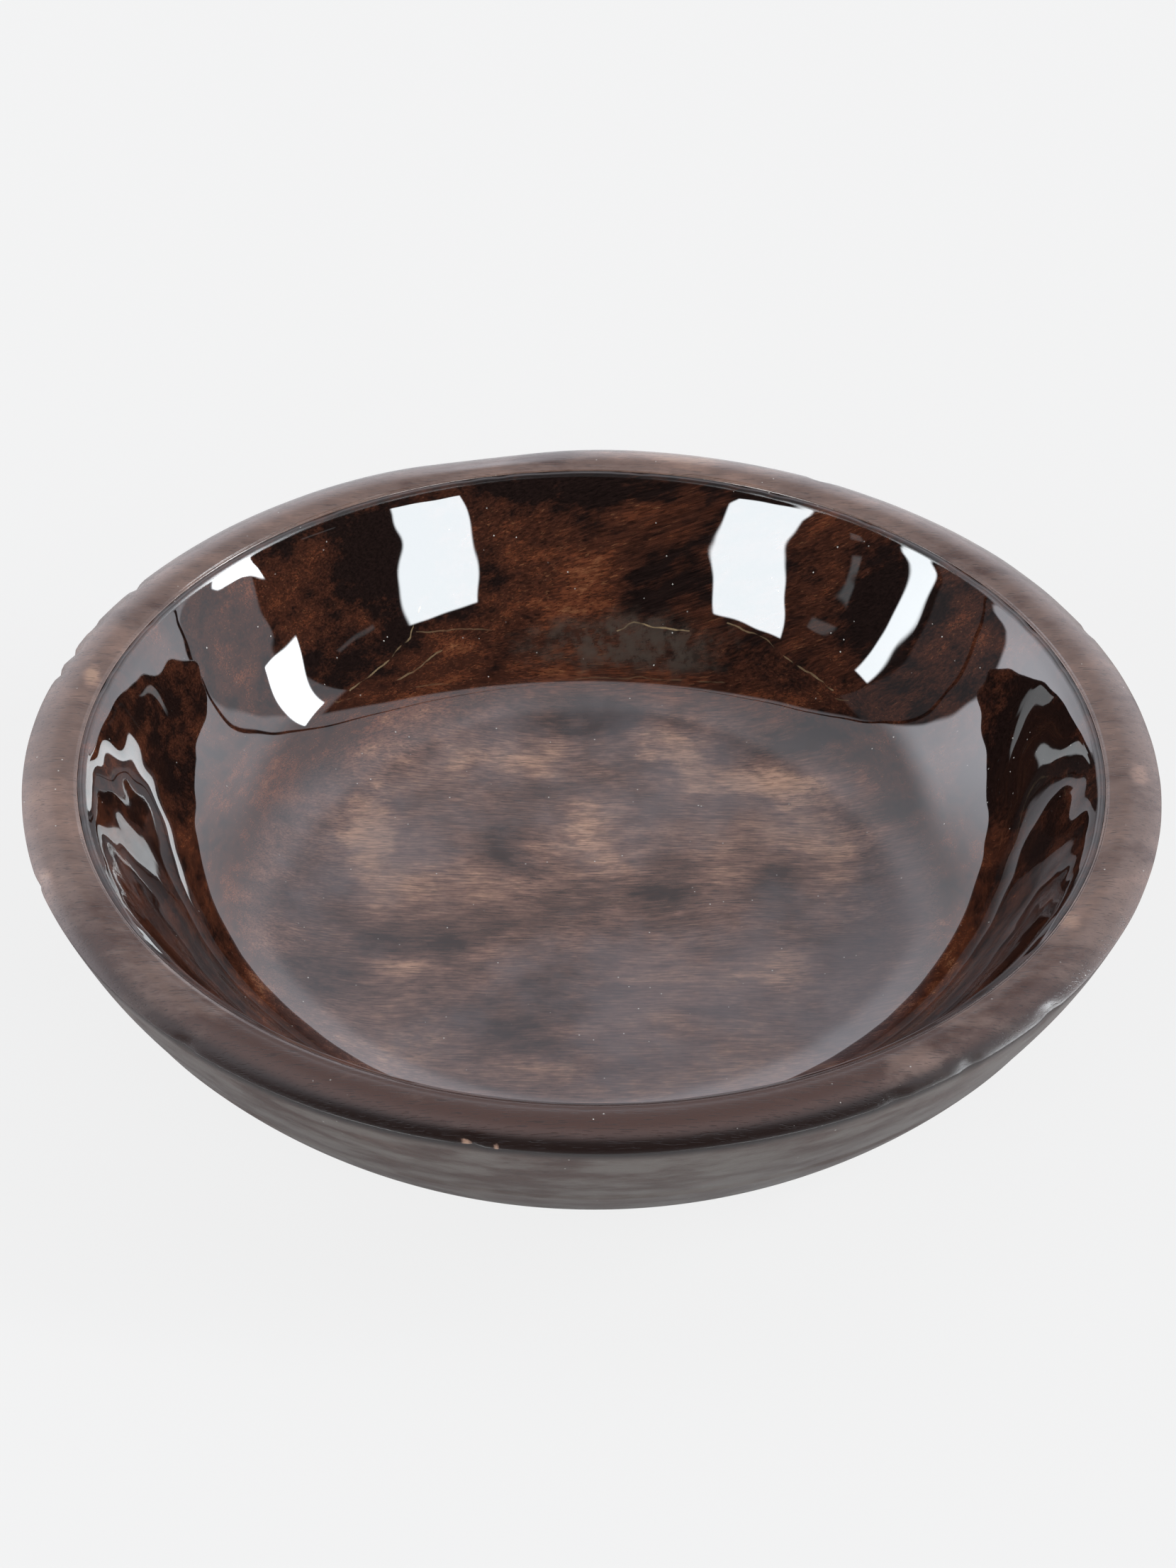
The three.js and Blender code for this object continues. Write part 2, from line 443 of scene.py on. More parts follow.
def poured(shape, sizes):
    """Waves of the poured lining's top, its full edge where it didn't run thin, and its uneven line."""
    top = shape.verts.layers.float["top"]
    depth = shape.verts.layers.float["depth"]
    shape.normal_update()
    moves = []
    for corner in shape.verts:
        turn, reach = math.atan2(corner.co.y, corner.co.x), corner[depth]
        outward = Vector((math.cos(turn), math.sin(turn), 0))
        move = (outward * -SLIP_IN + Vector((0, 0, -SLIP_DOWN))) * edge_slip(turn, reach) * MM
        if corner[top] > 0.5:
            filled = step_up(reach, 0, sizes.edge_taper) - step_up(reach, 0, sizes.lining_taper)
            filled *= (sizes.lining_thickness - sizes.lining_edge) * (1 - ran_thin(turn))
            move += corner.normal * (wave_at(corner.co, outward, reach) * MM + filled)
        moves.append((corner, move))
    for corner, move in moves:
        corner.co += move


# Kinds of socket on a node group
VECTOR = "NodeSocketVector"
NUMBER = "NodeSocketFloat"
COLOUR = "NodeSocketColor"
# Vector operations whose result is a number
MEASURES = ("LENGTH", "DISTANCE", "DOT_PRODUCT")
# The four tones of stained wood, from dark to pale
TONES = ("shade", "stain", "ember", "tan")


def fill(tree, node, socket, value):
    """Joins a node's input to another node's output, or sets it."""
    if isinstance(value, bpy.types.NodeSocket):
        tree.links.new(value, node.inputs[socket])
    else:
        node.inputs[socket].default_value = value


def put(tree, kind, inputs=None, **settings):
    """Adds a node, sets it and fills its inputs."""
    node = tree.nodes.new(kind)
    for name, value in settings.items():
        setattr(node, name, value)
    for socket, value in (inputs or {}).items():
        fill(tree, node, socket, value)
    return node


def sums(tree, operation, first, second=0.0, clamp=False):
    """A math node's result."""
    return put(tree, "ShaderNodeMath", {0: first, 1: second}, operation=operation, use_clamp=clamp).outputs[0]


def product(tree, *factors):
    """All factors multiplied."""
    whole = factors[0]
    for factor in factors[1:]:
        whole = sums(tree, "MULTIPLY", whole, factor)
    return whole


def vectors(tree, operation, first, second=(0.0, 0.0, 0.0)):
    """A vector math node's result, which is a number for the measures."""
    node = put(tree, "ShaderNodeVectorMath", {0: first, 1: second}, operation=operation)
    return node.outputs["Value" if operation in MEASURES else "Vector"]


def times(tree, vector, factor):
    """A vector or colour scaled by a number."""
    return put(tree, "ShaderNodeVectorMath", {0: vector, "Scale": factor}, operation="SCALE").outputs[0]


def ramp(tree, value, low, high, bottom=0.0, top=1.0):
    """Smooth step from bottom to top while the value goes from low to high."""
    inputs = {"Value": value, "From Min": low, "From Max": high, "To Min": bottom, "To Max": top}
    return put(tree, "ShaderNodeMapRange", inputs, interpolation_type="SMOOTHSTEP").outputs[0]


def mixed(tree, factor, first, second):
    """Two colours mixed."""
    node = put(tree, "ShaderNodeMix", {0: factor, 6: first, 7: second}, data_type="RGBA")
    return node.outputs[2]


def opaque(shade):
    """A linear colour with full cover."""
    return (shade[0], shade[1], shade[2], 1.0)


def stretched(tree, place, scale, **settings):
    """The place scaled differently along each axis, and moved or turned by further settings."""
    return put(tree, "ShaderNodeMapping", {"Vector": place, "Scale": scale, **settings}).outputs[0]


def clouds(tree, place, scale=1.0, detail=2.0, roughness=0.5):
    """Noise between 0 and 1."""
    inputs = {"Vector": place, "Scale": scale, "Detail": detail, "Roughness": roughness}
    return put(tree, "ShaderNodeTexNoise", inputs).outputs["Fac"]


def drifted(tree, place, scale, reach):
    """The place pushed about by soft noise."""
    drift = put(tree, "ShaderNodeTexNoise", {"Vector": place, "Scale": scale, "Detail": 2.0}).outputs["Color"]
    centred = vectors(tree, "SUBTRACT", drift, (0.5, 0.5, 0.5))
    return vectors(tree, "ADD", place, times(tree, centred, reach))


def group_tree(name, inputs, outputs):
    """An empty node group, the outputs of its first node and the inputs of its last.

    Its inputs and outputs list their labels by the kind of socket."""
    tree = bpy.data.node_groups.new(name, "ShaderNodeTree")
    for side, kinds in (("INPUT", inputs), ("OUTPUT", outputs)):
        for kind, labels in kinds.items():
            for label in labels.split():
                tree.interface.new_socket(label, in_out=side, socket_type=kind)
    return tree, tree.nodes.new("NodeGroupInput").outputs, tree.nodes.new("NodeGroupOutput").inputs


def grouped(tree, group, label="", **inputs):
    """The outputs of a node that holds a group."""
    return put(tree, "ShaderNodeGroup", inputs, node_tree=group, label=label).outputs


def grain_group():
    """Stained wood with its fibres along X. The lift makes it paler, or darker below nothing."""
    inputs = {VECTOR: "Place", COLOUR: "Shade Stain Ember Tan", NUMBER: "Lift Contrast Streaks Flecks"}
    outputs = {COLOUR: "Colour", NUMBER: "Height Tone"}
    tree, given, result = group_tree("stained_grain", inputs, outputs)
    place, streaks = given["Place"], given["Streaks"]
    bent = drifted(tree, place, scale=11.0, reach=0.016)
    aslant = stretched(tree, bent, (0.55, 1.0, 1.0), Rotation=(0.0, -0.6, 0.0))
    blotch = clouds(tree, aslant, scale=42.0, detail=8.0, roughness=0.68)
    mottle = clouds(tree, stretched(tree, bent, (0.5, 1.0, 1.0)), scale=190.0, detail=5.0, roughness=0.66)
    band = clouds(tree, stretched(tree, bent, (12.0, 130.0, 130.0)), detail=4.0, roughness=0.6)
    fibre = clouds(tree, stretched(tree, bent, (120.0, 1700.0, 1700.0)), roughness=0.6)
    pore = clouds(tree, stretched(tree, place, (220.0, 2600.0, 2600.0)), detail=1.0)
    fleck_place = stretched(tree, place, (190.0, 2100.0, 2100.0), Location=(3.1, 7.7, 1.3))
    fleck = clouds(tree, fleck_place, detail=1.0)
    weights = (
        (blotch, 1.45), (mottle, 0.65), (band, product(tree, streaks, 0.3)),
        (fibre, product(tree, streaks, 0.22)),
    )
    tone = 0.0
    for part, weight in weights:
        tone = sums(tree, "ADD", tone, product(tree, sums(tree, "SUBTRACT", part, 0.5), weight))
    tone = sums(tree, "ADD", product(tree, tone, given["Contrast"]), given["Lift"])
    shade = mixed(tree, ramp(tree, tone, -0.30, 0.02), given["Shade"], given["Stain"])
    shade = mixed(tree, ramp(tree, tone, -0.02, 0.28), shade, given["Ember"])
    shade = mixed(tree, ramp(tree, tone, 0.18, 0.72), shade, given["Tan"])
    pore_mask = ramp(tree, pore, 0.58, 0.68)
    fine = sums(tree, "ADD", product(tree, ramp(tree, fibre, 0.3, 0.7, -0.3, 0.3), streaks), 1.0)
    shade = times(tree, shade, product(tree, fine, ramp(tree, pore_mask, 0.0, 1.0, 1.0, 0.55)))
    fleck_mask = product(tree, ramp(tree, fleck, 0.65, 0.74), ramp(tree, tone, -0.2, 0.15), given["Flecks"])
    shade = mixed(tree, fleck_mask, shade, given["Tan"])
    height = sums(tree, "SUBTRACT", product(tree, fibre, 0.4), pore_mask)
    tree.links.new(shade, result["Colour"])
    tree.links.new(height, result["Height"])
    tree.links.new(tone, result["Tone"])
    return tree


def patch_group():
    """A soft ragged patch round a centre, which lifts the wood's tone or lowers it."""
    inputs = {VECTOR: "Place Centre Reach", NUMBER: "Ragged Strength"}
    tree, given, result = group_tree("ragged_patch", inputs, {NUMBER: "Lift"})
    away = vectors(tree, "SUBTRACT", given["Place"], given["Centre"])
    far = vectors(tree, "LENGTH", vectors(tree, "DIVIDE", away, given["Reach"]))
    inside = ramp(tree, sums(tree, "ADD", far, given["Ragged"]), 0.3, 1.15, 1.0, 0.0)
    tree.links.new(product(tree, inside, given["Strength"]), result["Lift"])
    return tree


def hairline_group():
    """A thin line between two points, as a mask."""
    inputs = {VECTOR: "Place From To", NUMBER: "Width"}
    tree, given, result = group_tree("hairline", inputs, {NUMBER: "Mask"})
    away = vectors(tree, "SUBTRACT", given["Place"], given["From"])
    line = vectors(tree, "SUBTRACT", given["To"], given["From"])
    along = vectors(tree, "DOT_PRODUCT", away, line)
    part = sums(tree, "DIVIDE", along, vectors(tree, "DOT_PRODUCT", line, line), clamp=True)
    apart = vectors(tree, "DISTANCE", away, times(tree, line, part))
    in_widths = sums(tree, "DIVIDE", apart, given["Width"])
    tree.links.new(ramp(tree, in_widths, 0.35, 1.0, 1.0, 0.0), result["Mask"])
    return tree


def speck_group():
    """Sparse specks of dust, as a mask."""
    tree, given, result = group_tree("dust_specks", {VECTOR: "Place"}, {NUMBER: "Mask"})
    place = given["Place"]
    near = put(tree, "ShaderNodeTexVoronoi", {"Vector": place, "Scale": 230.0}).outputs["Distance"]
    sparse = ramp(tree, clouds(tree, place, scale=60.0), 0.42, 0.62)
    tree.links.new(product(tree, ramp(tree, near, 0.03, 0.065, 1.0, 0.0), sparse), result["Mask"])
    return tree


# Patches of the hollow: centre and reach in millimetres, and how much paler or darker the wood is there
HOLLOW_PATCHES = (
    ("pale right", (42, 59, 10), (30, 12, 9), 0.50),
    ("pale right tip", (55, 55, 10), (12, 8, 9), 0.40),
    ("pale back", (23, 72, 11), (13, 9, 9), 0.34),
    ("pale back left", (-25, 66, 11), (24, 11, 9), 0.28),
    ("pale left", (-61, 31, 10), (8, 24, 9), 0.44),
    ("brown left", (-58, 27, 10), (30, 40, 9), 0.10),
    ("pale middle", (0, 35, 10), (10, 14, 9), 0.36),
    ("pale arc", (65, 23, 10), (11, 32, 9), 0.26),
    ("pale front right", (52, -25, 10), (13, 16, 9), 0.20),
    ("pale front", (16, -46, 10), (16, 14, 9), 0.18),
    ("pale front left", (-12, -66, 10), (24, 8, 9), 0.34),
    ("streak left", (-50, -26, 10), (13, 8, 9), 0.24),
    ("dark back right", (58, 72, 13), (30, 12, 9), -0.40),
    ("dark middle left", (-24, 28, 10), (11, 11, 9), -0.30),
    ("dark middle", (18, 20, 10), (16, 24, 9), -0.28),
    ("dark right", (53, 4, 10), (13, 17, 9), -0.24),
    ("dark left", (-48, -15, 10), (22, 9, 9), -0.28),
    ("dark back", (-10, 85, 12), (30, 9, 9), -0.36),
    ("dark far left", (-79, -10, 11), (10, 19, 9), -0.15),
    ("dark front", (-16, -45, 10), (20, 20, 9), -0.10),
    ("wall glow", (-8, 118, 38), (30, 16, 14), 0.22),
    ("wall top", (4, 132, 61), (43, 9, 8), -0.34),
    ("wall left dark", (-62, 110, 50), (15, 15, 19), -0.38),
    ("wall low warm", (-36, 104, 27), (23, 10, 9), 0.16),
    ("wall grey", (16, 117, 37), (10, 10, 10), -0.24),
    ("wall right dark", (86, 92, 46), (20, 22, 24), -0.26),
    ("right end dark", (122, 36, 42), (22, 40, 30), -0.30),
    ("left end brown", (-108, 62, 40), (24, 30, 26), 0.14),
)
# The grey stain at the foot of the back wall: its centre and reach in millimetres, and how strong it is
ASH_STAIN = ("ash stain", (12, 104, 22), (34, 12, 10), 0.9)
# The place of the floor where the lining is clearest, in millimetres
HAZE_CLEAR = (10, 38, 11)
# Golden hairlines of the hollow: how clear each is, and its points on the lining in millimetres
HAIRLINES = (
    (1.0, ((7, 108, 26.3), (12, 109.7, 28.5), (17, 108.3, 27.8), (28, 106.1, 27.9))),
    (0.7, ((-50, 105.3, 36.4), (-52.4, 98.6, 30), (-59, 91.4, 26.8), (-69, 80.6, 24.3))),
    (0.6, ((-44, 98.3, 25.8), (-50, 92.9, 23.8), (-57, 87.2, 22.7))),
    (0.6, ((39.4, 105.6, 31.2), (51, 98.9, 29.5), (58, 92.2, 27), (69, 82.1, 25.3))),
    (0.3, ((-50.4, 100.3, 30.7), (-38.5, 104.3, 29.4), (-29, 105.8, 27.8))),
    (0.2, ((-73.4, 76.3, 24.1), (-45.4, 89.7, 20.2), (-2.5, 96.6, 17.8), (16, 96.2, 18.3), (37.4, 92.2, 19.5),
           (73, 77.8, 24.8))),
)
HAIRLINE_WIDTH = 0.34 * MM
# Marks of the rim and the outside, listed as the hollow's patches are
RIM_MARKS = (
    ("light left", (-146, 10, 64), (14, 75, 12), 0.06),
    ("dull right", (146, 10, 64), (14, 75, 12), -0.05),
    ("light back", (22, 144, 65), (26, 8, 5), 0.34),
    ("dark back", (-14, 144, 65), (11, 7, 5), -0.24),
    ("light back right", (55, 137, 65), (14, 5, 5), 0.22),
    ("orange front right", (78, -118, 65), (14, 8, 5), 0.30),
    ("pale chip left", (-135, 32, 65), (3, 6, 4), 0.45),
    ("pale chip front left", (-140, -52, 65), (4, 5, 4), 0.40),
    ("pale chip right", (144, -7, 65), (3, 5, 4), 0.40),
    ("pale chip front right", (120, -66, 65), (4, 5, 4), 0.35),
    ("gold chip", (-29, -147, 63), (3.6, 2.8, 2.2), 1.1),
    ("gold speck", (-22, -148, 62.5), (2.4, 2.4, 2), 1.1),
    ("dark pit", (62, -134, 64), (4, 3, 3), -0.40),
    ("dark pit right", (88, -119, 64), (3, 3, 3), -0.40),
    ("dark pit low", (45, -141, 63), (3, 3, 3), -0.40),
)


def scaled(values):
    """A list of millimetres in metres."""
    return [value * MM for value in values]


def frayed(tree, place):
    """Unevenness that frays the edges of patches along the fibres."""
    ragged = clouds(tree, stretched(tree, place, (0.6, 1.0, 1.0)), scale=48.0, detail=7.0, roughness=0.68)
    return product(tree, sums(tree, "SUBTRACT", ragged, 0.5), 2.8)


def patch_lift(tree, place, ragged, patch, mark):
    """The lift of one patch."""
    name, centre, reach, strength = mark
    extent = {"Centre": scaled(centre), "Reach": scaled(reach)}
    return grouped(tree, patch, name, Place=place, Ragged=ragged, Strength=strength, **extent)["Lift"]


def lifted(tree, place, ragged, patch, marks):
    """The sum of the lifts of all patches."""
    lift = 0.0
    for mark in marks:
        lift = sums(tree, "ADD", lift, patch_lift(tree, place, ragged, patch, mark))
    return lift


def haze_mask(tree, place):
    """Milky clouds, thicker away from the clear place of the floor."""
    cloudy = ramp(tree, clouds(tree, place, scale=17.0, detail=5.0, roughness=0.6), 0.42, 0.66, 0.0, 0.40)
    far = vectors(tree, "DISTANCE", place, scaled(HAZE_CLEAR))
    return sums(tree, "ADD", cloudy, ramp(tree, far, 45 * MM, 120 * MM, 0.0, 0.3))


def hairline_mask(tree, place):
    """All hairlines, broken here and there."""
    bent = drifted(tree, place, scale=150.0, reach=0.002)
    hairline = hairline_group()
    drawn = 0.0
    for clear, points in HAIRLINES:
        for first, last in zip(points, points[1:]):
            ends = {"From": scaled(first), "To": scaled(last)}
            mask = grouped(tree, hairline, Place=bent, Width=HAIRLINE_WIDTH, **ends)["Mask"]
            drawn = sums(tree, "MAXIMUM", drawn, product(tree, mask, clear))
    broken = ramp(tree, clouds(tree, place, scale=90.0), 0.36, 0.5, 0.45, 1.0)
    return product(tree, drawn, broken)


def figure_group(sizes, colours, grain, patch, specks):
    """The figure of the wood in the hollow, as it shows through the lining; its wall is darker than its floor
    partly by stain and partly by painted shade.
    """
    tree, given, result = group_tree("hollow_figure", {VECTOR: "Place"}, {COLOUR: "Colour"})
    place = given["Place"]
    parts = put(tree, "ShaderNodeSeparateXYZ", {0: place}).outputs
    risen = sums(tree, "SUBTRACT", parts["Z"], sizes.floor_height)
    floor = ramp(tree, risen, 1.4 * MM, 9.4 * MM, 1.0, 0.0)
    ragged = frayed(tree, place)
    lift = lifted(tree, place, ragged, patch, HOLLOW_PATCHES)
    # Partly painted shade: the floor is lifted paler and the wall lowered darker as it rises, partly a
    # thicker stain on the wall and partly the shade of the wall, which takes less light than the floor.
    lift = sums(tree, "ADD", lift, ramp(tree, risen, 2.4 * MM, 20.4 * MM, 0.15, -0.13))
    lean = product(tree, parts["X"], ramp(tree, risen, 3.4 * MM, 20.4 * MM, 0.0, -0.4))
    leaning = vectors(tree, "ADD", place, put(tree, "ShaderNodeCombineXYZ", {"Z": lean}).outputs[0])
    inputs = {"Place": leaning, "Lift": lift, "Contrast": 1.2, "Streaks": 1.0, "Flecks": 0.3}
    # The floor's tones are paler than the wall's, partly a thinner stain on the floor and partly painted
    # light for the floor, which takes more light than the wall.
    for tone in TONES:
        on_wall, on_floor = getattr(colours, tone), getattr(colours, "floor_" + tone)
        inputs[tone.capitalize()] = mixed(tree, floor, opaque(on_wall), opaque(on_floor))
    shade = grouped(tree, grain, **inputs)["Colour"]
    shade = mixed(tree, product(tree, floor, haze_mask(tree, place)), shade, opaque(colours.haze))
    blotchy = ramp(tree, clouds(tree, leaning, scale=170.0, detail=5.0, roughness=0.7), 0.38, 0.62, 0.1, 1.0)
    ash = product(tree, patch_lift(tree, place, ragged, patch, ASH_STAIN), blotchy)
    shade = mixed(tree, ash, shade, opaque(colours.ash))
    shade = mixed(tree, hairline_mask(tree, place), shade, opaque(colours.gold))
    speck = grouped(tree, specks, Place=place)["Mask"]
    shade = mixed(tree, speck, shade, opaque(colours.dust))
    tree.links.new(shade, result["Colour"])
    return tree


def wood_groups(sizes, colours):
    """The groups for grain, patches, specks and the hollow's figure, built when they are first asked for."""
    made = bpy.data.node_groups
    grain = made.get("stained_grain") or grain_group()
    patch = made.get("ragged_patch") or patch_group()
    specks = made.get("dust_specks") or speck_group()
    figure = made.get("hollow_figure") or figure_group(sizes, colours, grain, patch, specks)
    return grain, patch, specks, figure


def new_material(name):
    """An empty node material, its tree and its last node."""
    material = bpy.data.materials.new(name)
    material.use_nodes = True
    tree = material.node_tree
    tree.nodes.clear()
    return material, tree, tree.nodes.new("ShaderNodeOutputMaterial")


def shaded(tree, end, inputs):
    """Puts a principled surface on a material."""
    surface = put(tree, "ShaderNodeBsdfPrincipled", inputs)
    tree.links.new(surface.outputs[0], end.inputs["Surface"])


def lined_wood(figure):
    """The wood under the lining, without any gloss of its own."""
    material, tree, end = new_material("lined_wood")
    place = put(tree, "ShaderNodeTexCoord").outputs["Object"]
    shade = grouped(tree, figure, Place=place)["Colour"]
    shaded(tree, end, {"Base Color": shade, "Roughness": 0.7, "Specular IOR Level": 0.0})
    return material


def clear_coat(sizes, figure):
    """The lining: a mirror-smooth opaque skin with the figure of the wood under it, duller at its edge."""
    material, tree, end = new_material("clear_coat")
    place = put(tree, "ShaderNodeTexCoord").outputs["Object"]
    shade = grouped(tree, figure, Place=place)["Colour"]
    height = put(tree, "ShaderNodeSeparateXYZ", {0: place}).outputs["Z"]
    mouth = mouth_of(sizes).z
    dulled = ramp(tree, height, mouth - 1 * MM, mouth - 0.4 * MM, 0.02, 0.3)
    shaded(tree, end, {"Base Color": shade, "Roughness": dulled, "IOR": 1.5})
    return material


def ring_streaks(tree, place):
    """Soft streaks that run round the axis, between 0 and 1."""
    flat = vectors(tree, "MULTIPLY", place, (1.0, 1.0, 0.0))
    turn = vectors(tree, "MULTIPLY", vectors(tree, "NORMALIZE", flat), (3.5, 3.5, 0.0))
    rise = vectors(tree, "MULTIPLY", place, (30.0, 30.0, 190.0))
    return clouds(tree, vectors(tree, "ADD", turn, rise), detail=5.0, roughness=0.62)


def satin_wood(sizes, colours, grain, patch, specks):
    """The satin rim, with painted shade darkening its front and a painted dark band along its front edge, and
    the outside of the wall under its dull film.
    """
    material, tree, end = new_material("satin_wood")
    place = put(tree, "ShaderNodeTexCoord").outputs["Object"]
    parts = put(tree, "ShaderNodeSeparateXYZ", {0: place}).outputs
    height, arris = parts["Z"], arris_of(sizes).z
    # Painted shade: the tone of the rim is lowered over its front half, which faces the dark room, so that
    # rim shade shows there.
    front = ramp(tree, parts["Y"], -140 * MM, -40 * MM, 1.0, 0.0)
    lift = lifted(tree, place, frayed(tree, place), patch, RIM_MARKS)
    lift = sums(tree, "SUBTRACT", lift, product(tree, front, 0.34))
    inputs = {"Place": place, "Lift": lift, "Contrast": 0.86, "Streaks": 0.14, "Flecks": 0.2}
    for tone in TONES:
        inputs[tone.capitalize()] = opaque(getattr(colours, "rim_" + tone))
    wood = grouped(tree, grain, **inputs)
    outside = ramp(tree, height, arris - 4 * MM, arris - 0.2 * MM, 1.0, 0.0)
    dull = product(tree, outside, ramp(tree, ring_streaks(tree, place), 0.34, 0.66, 0.1, 1.0))
    shade = mixed(tree, dull, wood["Colour"], opaque(colours.film))
    # Painted shade: a near-black band on the front of the outer round above the arris, where it faces the
    # dark room, left out where the wood is pale.
    band = product(
        tree, ramp(tree, height, arris + 1.2 * MM, arris + 2.5 * MM, 0.95, 0.0), front,
        sums(tree, "SUBTRACT", 1.0, outside), ramp(tree, wood["Tone"], 0.1, 0.4, 1.0, 0.0))
    shade = mixed(tree, band, shade, opaque(colours.shade))
    speck = grouped(tree, specks, Place=place)["Mask"]
    shade = mixed(tree, product(tree, speck, 0.9), shade, opaque(colours.dust))
    bump = put(tree, "ShaderNodeBump", {"Height": wood["Height"], "Strength": 0.2, "Distance": 0.1 * MM})
    worn = ramp(tree, height, arris - 0.6 * MM, arris + 0.6 * MM, 0.26, 0.0)
    rough = sums(tree, "ADD", ramp(tree, wood["Tone"], -0.2, 0.2, 0.24, 0.2), worn)
    shaded(tree, end, {
        "Base Color": shade, "Roughness": rough, "Specular IOR Level": 0.36, "Normal": bump.outputs[0]})
    return material


# Each softbox: middle of its azimuth from the camera's side to the right and half its width in degrees, how
# much it leans aside as it rises, its bottom and top in degrees, and its share of the full brightness
SOFTBOXES = (
    ("right of the camera", 37.0, 9.0, 0.3, 6.0, 35.0, 1.0),
    ("left of the camera", -37.5, 9.8, -0.45, 6.0, 38.0, 1.0),
    ("far right", 90.0, 5.6, 0.5, 16.0, 42.0, 2.2),
    ("far left", -78.5, 3.3, -0.1, 6.0, 32.0, 1.0),
    ("dim left", -62.0, 1.6, 0.0, 24.0, 28.0, 0.045),
    ("dim left low", -62.3, 1.2, 0.0, 16.5, 19.5, 0.06),
    ("dim right", 67.0, 5.0, 0.0, 28.5, 30.0, 0.035),
)
# How softly a softbox ends, in degrees to each side of its edge
BOX_EDGE = 0.5
# Dark upright gaps between the studio's panels, as azimuths in degrees
DARK_GAPS = (-97.3, 104.2)
# Tints of the backdrop and of the softboxes
COOL_WHITE = (0.955, 0.955, 1.03)
BOX_WHITE = (0.94, 0.995, 1.03)


def swing(tree, value, low, high, bottom=0.0, top=1.0):
    """Smooth step from bottom to top while an angle goes from low to high, both in degrees."""
    return ramp(tree, value, math.radians(low), math.radians(high), bottom, top)


def softbox_group():
    """One softbox as a mask over directions, which may lean to a side."""
    inputs = {NUMBER: "Azimuth Elevation Middle Spread Lean Bottom Top"}
    tree, given, result = group_tree("softbox", inputs, {NUMBER: "Mask"})
    elevation = given["Elevation"]
    centre = product(tree, sums(tree, "ADD", given["Bottom"], given["Top"]), 0.5)
    leant = product(tree, sums(tree, "SUBTRACT", elevation, centre), given["Lean"])
    middle = sums(tree, "ADD", given["Middle"], leant)
    aside = sums(tree, "ABSOLUTE", sums(tree, "SUBTRACT", given["Azimuth"], middle))
    past_side = sums(tree, "SUBTRACT", aside, given["Spread"])
    past_bottom = sums(tree, "SUBTRACT", elevation, given["Bottom"])
    past_top = sums(tree, "SUBTRACT", elevation, given["Top"])
    across = swing(tree, past_side, -BOX_EDGE, BOX_EDGE, 1.0, 0.0)
    above = swing(tree, past_bottom, -BOX_EDGE, BOX_EDGE)
    below = swing(tree, past_top, -BOX_EDGE, BOX_EDGE, 1.0, 0.0)
    tree.links.new(product(tree, across, above, below), result["Mask"])
    return tree


def backdrop_light(tree, studio, azimuth, elevation):
    """Brightness of the backdrop, which glows low down at its ends and is dimmed in its middle."""
    aside = sums(tree, "ABSOLUTE", azimuth)
    on_right = sums(tree, "GREATER_THAN", azimuth, 0.0)
    glow = product(
        tree, swing(tree, aside, 108, 146, 1.0, 0.0), swing(tree, elevation, 29, 42, 1.0, 0.0),
        ramp(tree, on_right, 0.0, 1.0, studio.left_glow, studio.right_glow))
    in_middle = product(
        tree, swing(tree, aside, 150, 170), swing(tree, elevation, 22, 33),
        swing(tree, elevation, 62, 76, 1.0, 0.0))
    plain = ramp(tree, in_middle, 0.0, 1.0, studio.backdrop, studio.backdrop * (1 - studio.dimming))
    return sums(tree, "ADD", glow, plain)


def panel_light(tree, studio, azimuth, elevation):
    """Brightness of the grey panels that stand at both ends of the backdrop."""
    beside = swing(tree, sums(tree, "ABSOLUTE", azimuth), 83.5, 84.5)
    low = swing(tree, elevation, 44, 46, 1.0, 0.0)
    on_right = sums(tree, "GREATER_THAN", azimuth, 0.0)
    return product(tree, beside, low, ramp(tree, on_right, 0.0, 1.0, studio.left_panel, studio.right_panel))


def softbox_light(tree, studio, azimuth, elevation):
    """Brightness of all softboxes."""
    box_tree = softbox_group()
    light = 0.0
    for name, middle, spread, lean, bottom, top, power in SOFTBOXES:
        degrees = {"Middle": middle, "Spread": spread, "Bottom": bottom, "Top": top}
        turns = {label: math.radians(value) for label, value in degrees.items()}
        mask = grouped(tree, box_tree, name, Azimuth=azimuth, Elevation=elevation, Lean=lean, **turns)["Mask"]
        light = sums(tree, "ADD", light, product(tree, mask, studio.softbox * power))
    return light


